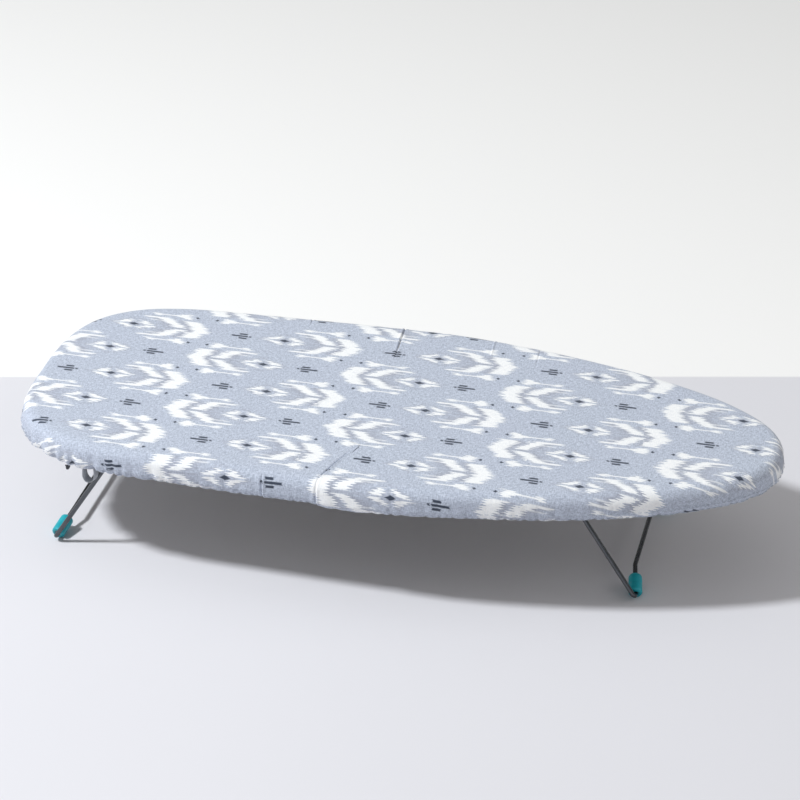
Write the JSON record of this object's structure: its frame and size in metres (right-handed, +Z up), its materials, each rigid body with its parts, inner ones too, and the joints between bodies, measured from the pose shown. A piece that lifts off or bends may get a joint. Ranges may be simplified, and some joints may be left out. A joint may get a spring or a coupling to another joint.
{
  "type": "tabletop ironing board",
  "caption": "Low tabletop ironing board: padded top with a patterned cotton cover on a perforated steel deck, standing on folding wire legs with plastic foot sleeves.",
  "frame": {"origin": "on the table, below the middle of the top's length and width", "axes": "+X along the top towards the narrow nose, +Y across the top, +Z up"},
  "size_m": [0.73, 0.314, 0.13],
  "materials": {
    "cover_cotton": "woven cotton, printed",
    "pad_foam": "needled felt",
    "deck_steel": "satin",
    "rim_steel": "satin",
    "leg_steel": "zinc plated",
    "bracket_zinc": "zinc plated",
    "sleeve_plastic": "satin",
    "hem_elastic": "knitted band",
    "loop_tape": "woven tape",
    "knot_cord": "braided cord"
  },
  "bodies": {
    "board": {"fabric_cover": "cover_cotton", "foam_pad": "pad_foam", "top_mesh": "deck_steel", "rim_tube": "rim_steel", "hem_elastic": "hem_elastic", "cross_brace_wide": "bracket_zinc", "cross_brace_middle": "bracket_zinc", "cross_brace_nose": "bracket_zinc", "hem_loop": "loop_tape", "hem_cord_knot": "knot_cord", "leg_bracket_wide_near": "bracket_zinc", "rivet_wide_near_1": "bracket_zinc", "rivet_wide_near_2": "bracket_zinc", "leg_bracket_wide_far": "bracket_zinc", "rivet_wide_far_1": "bracket_zinc", "rivet_wide_far_2": "bracket_zinc", "leg_bracket_nose_near": "bracket_zinc", "rivet_nose_near_1": "bracket_zinc", "rivet_nose_near_2": "bracket_zinc", "leg_bracket_nose_far": "bracket_zinc", "rivet_nose_far_1": "bracket_zinc", "rivet_nose_far_2": "bracket_zinc"},
    "wide_leg": {"leg_wire_wide": "leg_steel", "foot_sleeve_wide_near": "sleeve_plastic", "foot_sleeve_wide_far": "sleeve_plastic"},
    "nose_leg": {"leg_wire_nose": "leg_steel", "foot_sleeve_nose_near": "sleeve_plastic", "foot_sleeve_nose_far": "sleeve_plastic"}
  },
  "joints": [
    {"name": "leg_fold_wide", "type": "hinge", "parent": "board", "child": "wide_leg", "pos_m": [-0.2545, 0, 0.104], "axis": [0, -1, 0], "range_deg": [0, 122]},
    {"name": "leg_fold_nose", "type": "hinge", "parent": "board", "child": "nose_leg", "pos_m": [0.1815, 0, 0.104], "axis": [0, 1, 0], "range_deg": [0, 122]}
  ]
}
